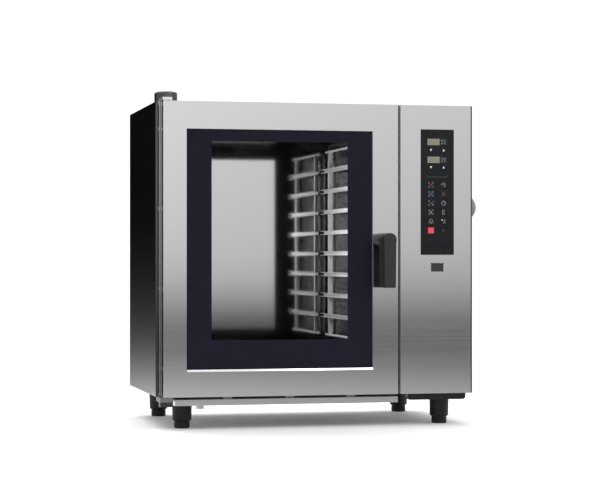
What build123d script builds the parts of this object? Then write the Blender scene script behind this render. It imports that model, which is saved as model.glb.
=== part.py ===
from build123d import *
import os

# Combi steamer oven, in millimetres. X runs from the hinge side to the control side, Y from the
# front to the back and Z up. The origin is on the floor, under the middle of the overall box.

# Driving dimensions: casing and legs
casing_width = 1020.0
casing_height = 921.0
body_depth = 624.0
leg_height = 101.0
sheet = 2.0
base_sheet = 3.0

# Door, glass and the joint between door and casing
control_width = 240.5
door_thickness = 44.0
door_inset = 15.0
door_gap = 8.5
seal_gap = 6.0
glass_left_margin = 75.0
glass_right_margin = 83.5
glass_bottom_margin = 85.3
glass_top_margin = 86.0
outer_glass_thickness = 5.0
inner_glass_thickness = 4.0
glass_clearance = 0.5
glass_seat = 12.0
lip_height = 8.0
lip_reach = 3.0

# Hinge
pin_radius = 6.0
pin_depth = 22.0
pin_inset = 15.0
running_clearance = 0.05
rest_clearance = 0.3

# Cavity
cavity_left_margin = 80.0
cavity_right_margin = 100.0
fan_chamber = 80.0
cavity_floor_height = 134.0
cavity_top_room = 87.0
cavity_back_room = 77.0
opening_overlap = 5.0
cavity_corner = 12.0
gasket_width = 14.0
gasket_margin = 4.0
gasket_round = 2.5
insulation_side = 25.0
insulation_back_gap = 18.0
wool_side_gap = 3.0
wool_gap = 1.0
wool_top_gap = 2.0
fit_clearance = 0.5

# Racks
rack_pitch = 70.0
rack_lowest = 104.5
rack_top_room = 100.0
rack_front = 38.0
rack_back = 43.0
rack_post = 15.0
rack_post_depth = 12.0
rack_wire_radius = 4.0
channel_reach = 14.0
channel_height = 13.0
channel_sheet = 1.5
rack_stand_off = 5.0
rack_weld_gap = 0.05
post_inset = 52.0
post_overhang = 70.0
hook_inset = 20.0

# Fans, heaters and motors
fan_margin = 50.0
fan_width = 45.0
fan_offset = 0.5
fan_shaft_radius = 6.0
fan_blades = 12
heater_fan_gap = 30.0
heater_tube = 4.25
heater_leg_pitch = 40.0
motor_radius = 60.0
motor_length = 124.0
motor_flange_radius = 85.0
baffle_sheet = 1.5

# Handle and latch
handle_inset = 51.0
handle_height = 490.0
handle_reach = 92.0
handle_thickness = 55.0
handle_length = 151.0
handle_top_width = 41.0
handle_end_width = 37.0
boss_radius = 21.5
shaft_radius = 8.0
finger_length = 32.0
finger_width = 14.0
finger_sheet = 3.0
striker_gap = 1.5

# Control panel
fascia_corner = 6.0
panel_width = 111.0
panel_foot = 78.0
panel_right_margin = 63.0
panel_top_margin = 77.0
panel_skin = 2.0
panel_back = 3.0
panel_lip = 6.0
key_size = 22.0
key_column_pitch = 42.5
key_row_pitch = 29.2
key_rows = 6
key_first_drop = 177.0
key_proud = 0.8
key_travel = 0.8
key_flange = 1.0
key_flange_lip = 1.5
key_clearance = 0.3
lens_width = 65.0
lens_height = 20.5
lens_drops = {"upper": 40.0, "lower": 97.0}
arrow_drops = {"upper": 66.0, "lower": 121.0}
board_room = 2.2
board_sheet = 1.6

# Data socket and its flap
socket_width = 39.0
socket_height = 27.5
socket_drop = 26.0
flap_sheet = 2.2
flap_pin_radius = 1.0
flap_barrel_radius = 2.2
flap_lug = 2.5
flap_gap = 0.3
bezel_reach = 1.5
barrel_margin = 0.5

# Below and above the casing
tray_top_gap = 8.0
tray_height = 18.5
tray_left_margin = 39.0
tray_depth = 42.0
tray_sheet = 1.5
spout_radius = 12.0
spout_length = 11.0
plinth_width = 192.0
plinth_right_margin = 18.0
plinth_height = 21.0
plinth_setback = 18.0
plinth_depth = 28.0
plinth_sheet = 3.0
leg_side_margin = 88.0
leg_front_margin = 80.0
leg_back_margin = 68.0
sleeve_radius = 32.0
foot_radius = 24.0
foot_height = 22.0
foot_stem_radius = 8.0
foot_stem_length = 50.0
chimney_radius = 39.0
chimney_bore = 29.0
chimney_height = 76.0
chimney_left_margin = 113.0
chimney_back_margin = 68.0
chimney_shoulder = 14.0
duct_top_gap = 10.0
vent_hole_radius = 20.0
vent_hole_setback = 22.0

# Connections at the rear and the right
rear_reach = 40.0
cap_radius = 40.0
cap_height = 25.0
cap_setback = 50.0
cap_level = 596.0
drain_radius = 25.0
drain_wall = 2.0
spigot_step = 1.0
drain_level = 49.0
inlet_radius = 13.2
inlet_bore = 8.0
inlet_length = 25.0
inlet_level = 69.0
inlet_pitch = 60.0
inlet_right_margin = 70.0
gland_radius = 16.0
gland_bore = 9.0
gland_length = 24.0
gland_right_margin = 30.0
gland_level = 120.0
pipe_radius = 5.0
steam_offset = 130.0
screw_head_radius = 5.0
screw_head = 3.0
screw_radius = 2.0

# Planes that the pieces share
left = -(casing_width + cap_height) / 2
right = left + casing_width
front = -(handle_reach + body_depth + rear_reach) / 2 + handle_reach
rear = front + body_depth
bottom = leg_height
top = bottom + casing_height
frame_front = front + door_thickness + seal_gap
frame_back = frame_front + sheet
door_left = left + door_inset
fascia_left = right - control_width
door_right = fascia_left - door_gap
door_back = front + door_thickness
cavity_left = door_left + cavity_left_margin
baffle_x = door_right - cavity_right_margin
fan_wall = baffle_x + fan_chamber
cavity_bottom = bottom + cavity_floor_height
cavity_top = top - cavity_top_room
cavity_height = cavity_top - cavity_bottom
cavity_back = rear - cavity_back_room
cavity_depth = cavity_back - frame_back
opening_right = baffle_x + opening_overlap
glass_left = door_left + glass_left_margin
glass_right = door_right - glass_right_margin
glass_bottom = bottom + glass_bottom_margin
glass_top = top - glass_top_margin
pin_x = door_left + pin_inset
pin_y = front + door_thickness / 2
rack_levels = int((cavity_height - rack_lowest - rack_top_room) // rack_pitch) + 1
rack_length = cavity_depth - rack_front - rack_back
fan_y = (frame_back + cavity_back) / 2 + fan_offset
fan_levels = {"lower": cavity_bottom + cavity_height / 4, "upper": cavity_top - cavity_height / 4}
fan_radius = cavity_height / 4 - fan_margin
heater_radius = fan_radius + heater_fan_gap
handle_x = door_right - handle_inset
handle_z = bottom + handle_height
panel_right = right - panel_right_margin
panel_left = panel_right - panel_width
panel_top = top - panel_top_margin
panel_bottom = panel_top - key_first_drop - (key_rows - 1) * key_row_pitch - panel_foot
panel_x = (panel_left + panel_right) / 2
panel_rear = front + panel_skin + panel_back
board_stand_off = key_flange + key_travel + board_room
socket_top = panel_bottom - socket_drop
socket_z = socket_top - socket_height / 2
flap_front = front - bezel_reach - flap_gap - flap_sheet
flap_pin_z = socket_top - flap_barrel_radius - barrel_margin
chimney_x = left + chimney_left_margin
chimney_y = rear - chimney_back_margin
duct_top = top - duct_top_gap
drain_x = (cavity_left + baffle_x) / 2
drain_z = bottom + drain_level
gland_x = right - gland_right_margin - gland_radius
gland_z = bottom + gland_level
inlet_x = right - inlet_right_margin - inlet_pitch
inlet_z = bottom + inlet_level
steam_y = fan_y + steam_offset
steam_z = cavity_bottom + cavity_height / 2

parts_made = []


def finish(builder, name):
    """Labels a finished piece and writes it to its own file."""
    builder.part.label = name
    export_step(builder.part, f"parts/{name}.step")
    parts_made.append(name)


def block(x0, x1, y0, y1, z0, z1, mode=Mode.ADD):
    """A straight-sided block between its limits on each axis."""
    with Locations(((x0 + x1) / 2, (y0 + y1) / 2, (z0 + z1) / 2)):
        Box(x1 - x0, y1 - y0, z1 - z0, mode=mode)


def rod_x(x0, x1, y, z, radius, mode=Mode.ADD):
    """A round bar along X."""
    with Locations(Location(((x0 + x1) / 2, y, z), (0, 90, 0))):
        Cylinder(radius, x1 - x0, mode=mode)


def rod_y(x, y0, y1, z, radius, mode=Mode.ADD):
    """A round bar along Y."""
    with Locations(Location((x, (y0 + y1) / 2, z), (90, 0, 0))):
        Cylinder(radius, y1 - y0, mode=mode)


def rod_z(x, y, z0, z1, radius, mode=Mode.ADD):
    """A round bar along Z."""
    with Locations((x, y, (z0 + z1) / 2)):
        Cylinder(radius, z1 - z0, mode=mode)


os.makedirs("parts", exist_ok=True)

# ---------------------------------------------------------------- casing

with BuildPart() as base_pan:
    block(left + sheet, right - sheet, frame_back, rear - sheet, bottom, bottom + base_sheet)
finish(base_pan, "base_pan")

with BuildPart() as casing_left:
    block(left, left + sheet, frame_back, rear - sheet, bottom, top - sheet)
finish(casing_left, "casing_left")

vent_slot_rows = 9
vent_slot_pitch = 16.0
vent_slot_length = 120.0
vent_slot_width = 5.0
vent_slot_margin = 60.0
side_slot_y = rear - 130.0
rear_slot_x = right - 120.0

with BuildPart() as casing_right:
    block(right - sheet, right, frame_back, rear - sheet, bottom, top - sheet)
    for row in range(vent_slot_rows):
        slot_z = bottom + vent_slot_margin + row * vent_slot_pitch
        block(right - 2 * sheet, right + sheet, side_slot_y - vent_slot_length / 2,
              side_slot_y + vent_slot_length / 2, slot_z, slot_z + vent_slot_width, Mode.SUBTRACT)
finish(casing_right, "casing_right")

with BuildPart() as casing_top:
    block(left, right, frame_back, rear - sheet, top - sheet, top)
    rod_z(chimney_x, chimney_y, top - 2 * sheet, top + sheet, chimney_bore + sheet + fit_clearance,
          Mode.SUBTRACT)
finish(casing_top, "casing_top")

screw_margin = 15.0
screw_length = 10.0
screw_columns = 5
screw_rows = 4
screw_span_x = (casing_width - 2 * screw_margin) / (screw_columns - 1)
screw_span_z = (casing_height - 2 * screw_margin) / (screw_rows - 1)
screw_points = [
    (left + screw_margin + column * screw_span_x, bottom + screw_margin + row * screw_span_z)
    for column in range(screw_columns)
    for row in range(screw_rows)
    if column in (0, screw_columns - 1) or row in (0, screw_rows - 1)
]

with BuildPart() as casing_rear:
    block(left, right, rear - sheet, rear, bottom, top)
    for x, z in screw_points:
        rod_y(x, rear - 2 * sheet, rear + sheet, z, screw_radius + fit_clearance, Mode.SUBTRACT)
    rod_y(drain_x, rear - 2 * sheet, rear + sheet, drain_z, drain_radius - spigot_step / 2, Mode.SUBTRACT)
    for x in (inlet_x, inlet_x + inlet_pitch):
        rod_y(x, rear - 2 * sheet, rear + sheet, inlet_z, inlet_radius + fit_clearance, Mode.SUBTRACT)
    rod_y(gland_x, rear - 2 * sheet, rear + sheet, gland_z, gland_radius + fit_clearance, Mode.SUBTRACT)
    for row in range(vent_slot_rows):
        slot_z = top - vent_slot_margin - row * vent_slot_pitch
        block(rear_slot_x - vent_slot_length / 2, rear_slot_x + vent_slot_length / 2, rear - 2 * sheet,
              rear + sheet, slot_z, slot_z + vent_slot_width, Mode.SUBTRACT)
finish(casing_rear, "casing_rear")

with BuildPart() as casing_screws:
    for x, z in screw_points:
        rod_y(x, rear, rear + screw_head, z, screw_head_radius)
        rod_y(x, rear - screw_length, rear, z, screw_radius)
finish(casing_screws, "casing_screws")

# A row of slots down the hinge side keeps the heat of the cavity's frame from the side panel.
slot_line = left + 9.0
slot_width = 3.4
bridge_height = 8.7
bridge_pitch = 249.0
first_bridge = 89.0
slot_end_margin = 12.0

with BuildPart() as front_frame:
    block(left, fascia_left, frame_front, frame_back, bottom, top)
    block(cavity_left, opening_right, frame_front - sheet, frame_back + sheet, cavity_bottom,
          cavity_top, Mode.SUBTRACT)
    slot_start = bottom + slot_end_margin
    bridge = bottom + first_bridge
    while slot_start < top - slot_end_margin:
        slot_end = min(bridge - bridge_height / 2, top - slot_end_margin)
        block(slot_line - slot_width / 2, slot_line + slot_width / 2, frame_front - sheet,
              frame_back + sheet, slot_start, slot_end, Mode.SUBTRACT)
        slot_start = slot_end + bridge_height
        bridge += bridge_pitch
finish(front_frame, "front_frame")

socket_rim = 4.0
socket_head_rim = 6.0

with BuildPart() as control_fascia:
    block(fascia_left, right, front, frame_back, bottom, top)
    outer_corner = control_fascia.edges().filter_by(Axis.Z).group_by(Axis.Y)[0].sort_by(Axis.X)[-1]
    fillet(outer_corner, radius=fascia_corner)
    offset(amount=-sheet, openings=control_fascia.faces().sort_by(Axis.Y)[-1])
    block(panel_left, panel_right, front - sheet, front + 2 * sheet, panel_bottom, panel_top, Mode.SUBTRACT)
    block(panel_x - socket_width / 2 + socket_rim, panel_x + socket_width / 2 - socket_rim, front - sheet,
          front + 2 * sheet, socket_z - socket_height / 2 + socket_rim,
          socket_z + socket_height / 2 - socket_head_rim, Mode.SUBTRACT)
finish(control_fascia, "control_fascia")

# ---------------------------------------------------------------- cavity

vent_hole_x = cavity_left + cavity_corner + vent_hole_radius + sheet
vent_hole_y = cavity_back - vent_hole_setback
shaft_hole_gap = 2.0
heater_leg_drop = (heater_radius**2 - (heater_leg_pitch / 2) ** 2) ** 0.5

with BuildPart() as cavity_liner:
    block(cavity_left - sheet, fan_wall + sheet, frame_back, cavity_back + sheet,
          cavity_bottom - sheet, cavity_top + sheet)
    fillet(cavity_liner.edges().filter_by(Axis.Y), radius=cavity_corner + sheet)
    offset(amount=-sheet, openings=cavity_liner.faces().sort_by(Axis.Y)[0])
    rod_z(drain_x, fan_y, cavity_bottom - 2 * sheet, cavity_bottom + sheet,
          drain_radius + fit_clearance, Mode.SUBTRACT)
    rod_z(vent_hole_x, vent_hole_y, cavity_top - sheet, cavity_top + 2 * sheet, vent_hole_radius,
          Mode.SUBTRACT)
    rod_x(fan_wall - sheet, fan_wall + 2 * sheet, steam_y, steam_z, pipe_radius + fit_clearance,
          Mode.SUBTRACT)
    for level in fan_levels.values():
        rod_x(fan_wall - sheet, fan_wall + 2 * sheet, fan_y, level, fan_shaft_radius + shaft_hole_gap,
              Mode.SUBTRACT)
        for side in (-1, 1):
            rod_x(fan_wall - sheet, fan_wall + 2 * sheet, fan_y + side * heater_leg_pitch / 2,
                  level - heater_leg_drop, heater_tube + fit_clearance, Mode.SUBTRACT)
finish(cavity_liner, "cavity_liner")

duct_margin = 2.0
duct_left = chimney_x - chimney_bore - sheet - 9.0
duct_right = vent_hole_x + vent_hole_radius + sheet + duct_margin
duct_front = vent_hole_y - vent_hole_radius - 3.0
duct_back = chimney_y + chimney_bore + sheet + 8.0
insulation_right = fan_wall + sheet + insulation_side

with BuildPart() as insulation:
    block(left + sheet + wool_side_gap, insulation_right, frame_back + wool_gap,
          rear - sheet - insulation_back_gap, bottom + base_sheet + wool_gap, top - sheet - wool_top_gap)
    block(cavity_left - sheet - fit_clearance, fan_wall + sheet + fit_clearance, frame_back,
          cavity_back + sheet + fit_clearance, cavity_bottom - sheet - fit_clearance,
          cavity_top + sheet + fit_clearance, Mode.SUBTRACT)
    block(duct_left - wool_gap, duct_right + wool_gap, duct_front - wool_gap, rear,
          cavity_top, top, Mode.SUBTRACT)
    rod_x(fan_wall, right, steam_y, steam_z, pipe_radius + 2 * wool_gap, Mode.SUBTRACT)
    rod_z(drain_x, fan_y, drain_z, cavity_bottom, drain_radius + wool_gap, Mode.SUBTRACT)
    rod_y(drain_x, fan_y - drain_radius - wool_gap, rear, drain_z, drain_radius + wool_gap, Mode.SUBTRACT)
    for level in fan_levels.values():
        rod_x(fan_wall, right, fan_y, level, motor_flange_radius + 3 * wool_gap, Mode.SUBTRACT)
        for side in (-1, 1):
            rod_x(fan_wall, right, fan_y + side * heater_leg_pitch / 2, level - heater_leg_drop,
                  heater_tube + 2 * wool_gap, Mode.SUBTRACT)
finish(insulation, "insulation")

gasket_left = cavity_left - gasket_margin - gasket_width
gasket_right = opening_right + gasket_margin + gasket_width
gasket_bottom = cavity_bottom - gasket_margin - gasket_width
gasket_top = cavity_top + gasket_margin + gasket_width
with BuildPart() as door_gasket:
    block(gasket_left, gasket_right, door_back + rest_clearance, frame_front, gasket_bottom, gasket_top)
    block(gasket_left + gasket_width, gasket_right - gasket_width, front, frame_back,
          gasket_bottom + gasket_width, gasket_top - gasket_width, Mode.SUBTRACT)
    fillet(door_gasket.faces().sort_by(Axis.Y)[0].edges(), radius=gasket_round)
finish(door_gasket, "door_gasket")

# ---------------------------------------------------------------- side racks

rack_y0 = frame_back + rack_front
rack_y1 = rack_y0 + rack_length
lowest_runner = cavity_bottom + rack_lowest
post_bottom = lowest_runner - post_overhang
post_top = lowest_runner + (rack_levels - 1) * rack_pitch + post_overhang


def add_rack(wall_x, side):
    """Two posts and their runners. side is +1 where the rack stands to the right of its wall."""
    post_x = wall_x + side * rack_stand_off
    frame_x = post_x + side * rack_post_depth
    channel_x = frame_x + side * rack_weld_gap
    inner_x = channel_x + side * channel_reach
    for y in (rack_y0 + post_inset, rack_y1 - post_inset - rack_post):
        block(min(post_x, frame_x), max(post_x, frame_x), y, y + rack_post, post_bottom, post_top)
        for z in (post_bottom + hook_inset, post_top - hook_inset):
            rod_x(min(wall_x, post_x), max(wall_x, post_x), y + rack_post / 2, z, rack_wire_radius)
    for z in (post_bottom + rack_wire_radius, post_top - rack_wire_radius):
        wire_x = (post_x + frame_x) / 2
        rod_y(wire_x, rack_y0, rack_y1, z, rack_wire_radius)
    for level in range(rack_levels):
        z = lowest_runner + level * rack_pitch
        block(min(channel_x, inner_x), max(channel_x, inner_x), rack_y0, rack_y1,
              z - channel_height / 2, z + channel_height / 2)
        web_x = channel_x + side * channel_sheet
        past_x = inner_x + side
        block(min(web_x, past_x), max(web_x, past_x), rack_y0 - 1, rack_y1 + 1,
              z - channel_height / 2 + channel_sheet, z + channel_height / 2 - channel_sheet, Mode.SUBTRACT)


with BuildPart() as side_racks:
    add_rack(cavity_left, 1)
    add_rack(baffle_x, -1)
finish(side_racks, "side_racks")

# ---------------------------------------------------------------- fans, heat and steam

baffle_margin = 14.0
intake_rings = {25.0: 8, 46.0: 14, 67.0: 20, 88.0: 26}
intake_hole = 5.0
edge_slot_length = 60.0
edge_slot_width = 8.0
edge_slots = 4
edge_slot_front = 70.0
edge_slot_back = 65.0
edge_slot_margin = 40.0
edge_slot_pitch = (cavity_depth - edge_slot_front - edge_slot_back - edge_slot_length) / (edge_slots - 1)
spacer_radius = 5.0
spacer_margin = 30.0

with BuildPart() as air_baffle:
    block(baffle_x, baffle_x + baffle_sheet, frame_back + baffle_margin, cavity_back - baffle_margin,
          cavity_bottom + baffle_margin, cavity_top - baffle_margin)
    for level in fan_levels.values():
        intake_plane = Plane(origin=(baffle_x, fan_y, level), x_dir=(0, 1, 0), z_dir=(1, 0, 0))
        with BuildSketch(intake_plane) as intake:
            Circle(intake_hole)
            for ring_radius, hole_count in intake_rings.items():
                with PolarLocations(ring_radius, hole_count):
                    Circle(intake_hole)
        extrude(amount=baffle_sheet, mode=Mode.SUBTRACT)
    for slot in range(edge_slots):
        slot_y = frame_back + edge_slot_front + slot * edge_slot_pitch
        for slot_z in (cavity_bottom + edge_slot_margin, cavity_top - edge_slot_margin):
            block(baffle_x - baffle_sheet, baffle_x + 2 * baffle_sheet, slot_y, slot_y + edge_slot_length,
                  slot_z - edge_slot_width / 2, slot_z + edge_slot_width / 2, Mode.SUBTRACT)
    for y in (frame_back + spacer_margin, cavity_back - spacer_margin):
        for z in (cavity_bottom + spacer_margin, cavity_top - spacer_margin):
            rod_x(baffle_x + baffle_sheet, fan_wall, y, z, spacer_radius)
finish(air_baffle, "air_baffle")

wheel_gap = 15.0
wheel_back = fan_wall - wheel_gap
wheel_plate = 2.0
wheel_rim = 16.0
blade_sheet = 2.0
blade_angle = 25.0
blade_length = fan_radius / 2 - blade_sheet
blade_middle = fan_radius * 3 / 4
hub_radius = 16.0
hub_boss = 6.0
motor_front = fan_wall + sheet
motor_flange = 4.0
motor_neck = insulation_side + motor_flange
shaft_reach = 70.0
shaft_end = motor_front + shaft_reach
shaft_end_room = 2.0

for place, level in fan_levels.items():
    wheel_plane = Plane(origin=(wheel_back, fan_y, level), x_dir=(0, 1, 0), z_dir=(-1, 0, 0))
    with BuildPart() as fan_wheel:
        with BuildSketch(wheel_plane):
            Circle(fan_radius)
        extrude(amount=wheel_plate)
        with BuildSketch(wheel_plane.offset(wheel_plate)):
            with PolarLocations(blade_middle, fan_blades):
                Rectangle(blade_length, blade_sheet, rotation=blade_angle)
        extrude(amount=fan_width)
        with BuildSketch(wheel_plane.offset(wheel_plate + fan_width)):
            Circle(fan_radius)
            Circle(fan_radius - wheel_rim, mode=Mode.SUBTRACT)
        extrude(amount=wheel_plate)
        rod_x(wheel_back - wheel_plate - fan_width / 2, wheel_back + hub_boss, fan_y, level, hub_radius)
        rod_x(wheel_back, shaft_end, fan_y, level, fan_shaft_radius)
    finish(fan_wheel, f"fan_wheel_{place}")

with BuildPart() as fan_motors:
    for level in fan_levels.values():
        rod_x(motor_front, motor_front + motor_flange, fan_y, level, motor_flange_radius)
        rod_x(motor_front + motor_flange, motor_front + motor_neck, fan_y, level, motor_radius / 2)
        rod_x(motor_front + motor_neck, motor_front + motor_neck + motor_length, fan_y, level, motor_radius)
        rod_x(motor_front - sheet, shaft_end + shaft_end_room, fan_y, level,
              fan_shaft_radius + running_clearance, Mode.SUBTRACT)
finish(fan_motors, "fan_motors")

heater_x = wheel_back - fan_width / 2
heater_leg_step = 0.7
heater_tail = 12.0
heater_leg_end = insulation_right + heater_tail
with BuildPart() as heater_rings:
    for level in fan_levels.values():
        with Locations(Location((heater_x, fan_y, level), (0, -90, 0))):
            Torus(heater_radius, heater_tube)
        for side in (-1, 1):
            rod_x(heater_x + heater_leg_step, heater_leg_end, fan_y + side * heater_leg_pitch / 2,
                  level - heater_leg_drop, heater_tube - heater_leg_step)
finish(heater_rings, "heater_rings")

valve_length = 60.0
valve_front = rear - sheet - valve_length
steam_bend = 25.0
steam_nozzle_x = wheel_back - 8.0
with BuildPart() as steam_pipe:
    with BuildLine() as steam_route:
        FilletPolyline(
            (steam_nozzle_x, steam_y, steam_z),
            (inlet_x, steam_y, steam_z),
            (inlet_x, steam_y, inlet_z),
            (inlet_x, valve_front, inlet_z),
            radius=steam_bend,
        )
    with BuildSketch(Plane(origin=(steam_nozzle_x, steam_y, steam_z), z_dir=(1, 0, 0))):
        Circle(pipe_radius)
    sweep()
finish(steam_pipe, "steam_pipe")

strainer_radius = 38.0
strainer_sheet = 2.0
strainer_hole = 3.0
strainer_rings = {8.0: 6, 16.5: 12}
pipe_outer = drain_radius - spigot_step
pipe_inner = pipe_outer - drain_wall
with BuildPart() as cavity_drain:
    rod_z(drain_x, fan_y, drain_z, cavity_bottom + strainer_sheet, pipe_outer)
    rod_y(drain_x, fan_y, rear, drain_z, pipe_outer)
    rod_y(drain_x, rear, rear + rear_reach, drain_z, drain_radius)
    with Locations((drain_x, fan_y, drain_z)):
        Sphere(pipe_outer)
    rod_z(drain_x, fan_y, cavity_bottom, cavity_bottom + strainer_sheet, strainer_radius)
    rod_z(drain_x, fan_y, drain_z, cavity_bottom, pipe_inner, Mode.SUBTRACT)
    rod_y(drain_x, fan_y, rear + rear_reach + drain_wall, drain_z, pipe_inner, Mode.SUBTRACT)
    with Locations((drain_x, fan_y, drain_z)):
        Sphere(pipe_inner, mode=Mode.SUBTRACT)
    with Locations((drain_x, fan_y, cavity_bottom)):
        for ring_radius, hole_count in strainer_rings.items():
            with PolarLocations(ring_radius, hole_count):
                Cylinder(strainer_hole, 3 * strainer_sheet, mode=Mode.SUBTRACT)
finish(cavity_drain, "cavity_drain")

chimney_flange = 50.0
with BuildPart() as vent_chimney:
    block(duct_left, duct_right, duct_front, duct_back, cavity_top + sheet, duct_top)
    rod_z(chimney_x, chimney_y, duct_top - sheet, top + chimney_height, chimney_bore + sheet)
    rod_z(chimney_x, chimney_y, top, top + sheet, chimney_flange)
    rod_z(chimney_x, chimney_y, top + sheet, top + chimney_height, chimney_radius)
    shoulder = vent_chimney.faces().sort_by(Axis.Z)[-1].edges()
    fillet(shoulder, radius=min(chimney_shoulder, chimney_radius - chimney_bore - 1))
    block(duct_left + sheet, duct_right - sheet, duct_front + sheet, duct_back - sheet,
          cavity_top + 2 * sheet, duct_top - sheet, Mode.SUBTRACT)
    rod_z(chimney_x, chimney_y, duct_top - 2 * sheet, top + chimney_height + sheet, chimney_bore,
          Mode.SUBTRACT)
    rod_z(vent_hole_x, vent_hole_y, cavity_top, cavity_top + 3 * sheet, vent_hole_radius, Mode.SUBTRACT)
finish(vent_chimney, "vent_chimney")

# ---------------------------------------------------------------- door

skin_back = door_back - sheet
glass_inset = 1.0
glass_front = front + glass_inset
glass_back = glass_front + outer_glass_thickness
rebate = 2.5
hinge_block = 14.0
hinge_block_height = 30.0
pin_end_room = 2.0
shaft_clearance = 1.0

with BuildPart() as door_skin:
    block(door_left, door_right, front, skin_back, bottom, top)
    offset(amount=-sheet, openings=door_skin.faces().sort_by(Axis.Y)[-1])
    block(glass_left - rebate, glass_right + rebate, front, glass_back + sheet,
          glass_bottom - rebate, glass_top + rebate)
    block(glass_left - glass_clearance, glass_right + glass_clearance, front - sheet, glass_back,
          glass_bottom - glass_clearance, glass_top + glass_clearance, Mode.SUBTRACT)
    block(glass_left + glass_seat, glass_right - glass_seat, front - sheet, glass_back + 2 * sheet,
          glass_bottom + glass_seat, glass_top - glass_seat, Mode.SUBTRACT)
    block(glass_left, glass_right, front - lip_reach, front, glass_bottom - lip_height,
          glass_bottom - glass_clearance)
    for z0, z1 in ((bottom, bottom + hinge_block_height), (top - hinge_block_height, top)):
        block(door_left, pin_x + hinge_block, front, pin_y + hinge_block, z0, z1)
    for z0, z1 in ((bottom - sheet, bottom + pin_depth + pin_end_room),
                   (top - pin_depth - pin_end_room, top + sheet)):
        rod_z(pin_x, pin_y, z0, z1, pin_radius + running_clearance, Mode.SUBTRACT)
    rod_y(handle_x, front - sheet, front + 2 * sheet, handle_z, shaft_radius + shaft_clearance,
          Mode.SUBTRACT)
finish(door_skin, "door_skin")

inner_side_lap = 12.0
inner_lap = 8.0
inner_left = cavity_left - inner_side_lap
inner_right = opening_right + sheet
inner_bottom = cavity_bottom - inner_lap
inner_top = cavity_top + inner_lap
with BuildPart() as door_inner_frame:
    block(door_left, door_right, skin_back, door_back, bottom, top)
    block(inner_left, inner_right, front, frame_front, inner_bottom, inner_top, Mode.SUBTRACT)
    rod_y(handle_x, front, frame_front, handle_z, shaft_radius + shaft_clearance, Mode.SUBTRACT)
finish(door_inner_frame, "door_inner_frame")

with BuildPart() as outer_glass:
    block(glass_left, glass_right, glass_front, glass_back, glass_bottom, glass_top)
finish(outer_glass, "outer_glass")

with BuildPart() as inner_glass:
    block(inner_left - glass_seat, inner_right + glass_seat, skin_back - inner_glass_thickness, skin_back,
          inner_bottom - glass_seat, inner_top + glass_seat)
finish(inner_glass, "inner_glass")

housing_radius = 14.0
with BuildPart() as latch_housing:
    rod_y(handle_x, front + sheet, skin_back, handle_z, housing_radius)
    rod_y(handle_x, front, door_back, handle_z, shaft_radius + running_clearance, Mode.SUBTRACT)
finish(latch_housing, "latch_housing")

finger_gap = 0.8
finger_front = door_back + finger_gap
finger_round = 4.0
with BuildPart() as handle_shaft:
    rod_y(handle_x, front - handle_reach + handle_thickness / 2, finger_front + finger_sheet,
          handle_z, shaft_radius)
    block(handle_x, handle_x + finger_length, finger_front, finger_front + finger_sheet,
          handle_z - finger_width / 2, handle_z + finger_width / 2)
    fillet(handle_shaft.edges().filter_by(Axis.Y).sort_by(Axis.X)[-2:], radius=finger_round)
finish(handle_shaft, "handle_shaft")

lever_plane = Plane(origin=(handle_x, front - handle_reach, handle_z), x_dir=(1, 0, 0), z_dir=(0, -1, 0))
lever_end_radius = 5.0
lever_round = 3.0
boss_gap = 0.5
shaft_fit = 0.02
with BuildPart() as handle_lever:
    with BuildSketch(lever_plane) as lever_outline:
        with BuildLine():
            Polyline(
                (-handle_top_width / 2, 0),
                (-handle_end_width / 2, -handle_length),
                (handle_end_width / 2, -handle_length),
                (handle_top_width / 2, 0),
                close=True,
            )
        make_face()
        fillet(lever_outline.vertices().sort_by(Axis.Y)[:2], radius=lever_end_radius)
        Circle(boss_radius)
    extrude(amount=-handle_thickness)
    fillet(handle_lever.faces().sort_by(Axis.Y)[0].edges(), radius=lever_round)
    rod_y(handle_x, front - handle_reach + handle_thickness, front - boss_gap, handle_z, boss_radius)
    rod_y(handle_x, front - handle_reach + handle_thickness / 2, front, handle_z,
          shaft_radius + shaft_fit, Mode.SUBTRACT)
finish(handle_lever, "handle_lever")

striker_width = 12.0
striker_depth = 5.0
striker_half_height = 15.0
striker_round = 2.0
striker_left = handle_x + finger_length + striker_gap
with BuildPart() as latch_striker:
    block(striker_left, striker_left + striker_width, frame_front - striker_depth, frame_front,
          handle_z - striker_half_height, handle_z + striker_half_height)
    fillet(latch_striker.edges().filter_by(Axis.Z).group_by(Axis.Y)[0], radius=striker_round)
finish(latch_striker, "latch_striker")

# The lower bracket carries the door on a pin and stands on a black plastic pad beside the front leg.
tab_left = pin_x - 22.0
tab_right = pin_x + 16.0
tab_front = front + 4.0
tab_back = front + 90.0
tab_height = 16.5
foot_block_height = 13.5
collar_radius = 10.0
upper_plate = 9.0
upper_gap = 2.0
upper_half_width = 15.0
pad_drop = 1.0
pad_inset = 4.0
pad_leg_gap = 8.0

with BuildPart() as hinge_brackets:
    block(tab_left, tab_right, tab_front, tab_back, bottom - tab_height, bottom - pad_drop)
    block(tab_left, tab_right, frame_front, tab_back, bottom - pad_drop, bottom)
    block(tab_left, tab_right, tab_front + pad_inset,
          front + leg_front_margin - sleeve_radius - pad_leg_gap,
          bottom - tab_height - foot_block_height, bottom - tab_height)
    rod_z(pin_x, pin_y, bottom - tab_height, bottom + pin_depth, pin_radius)
    rod_z(pin_x, pin_y, bottom - pad_drop, bottom - rest_clearance, collar_radius)
    block(pin_x - upper_half_width, pin_x + upper_half_width, tab_front, tab_back,
          top + upper_gap, top + upper_gap + upper_plate)
    block(pin_x - upper_half_width, pin_x + upper_half_width, frame_front, tab_back, top, top + upper_gap)
    rod_z(pin_x, pin_y, top - pin_depth, top + upper_gap, pin_radius)
finish(hinge_brackets, "hinge_brackets")

# ---------------------------------------------------------------- control panel

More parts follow.
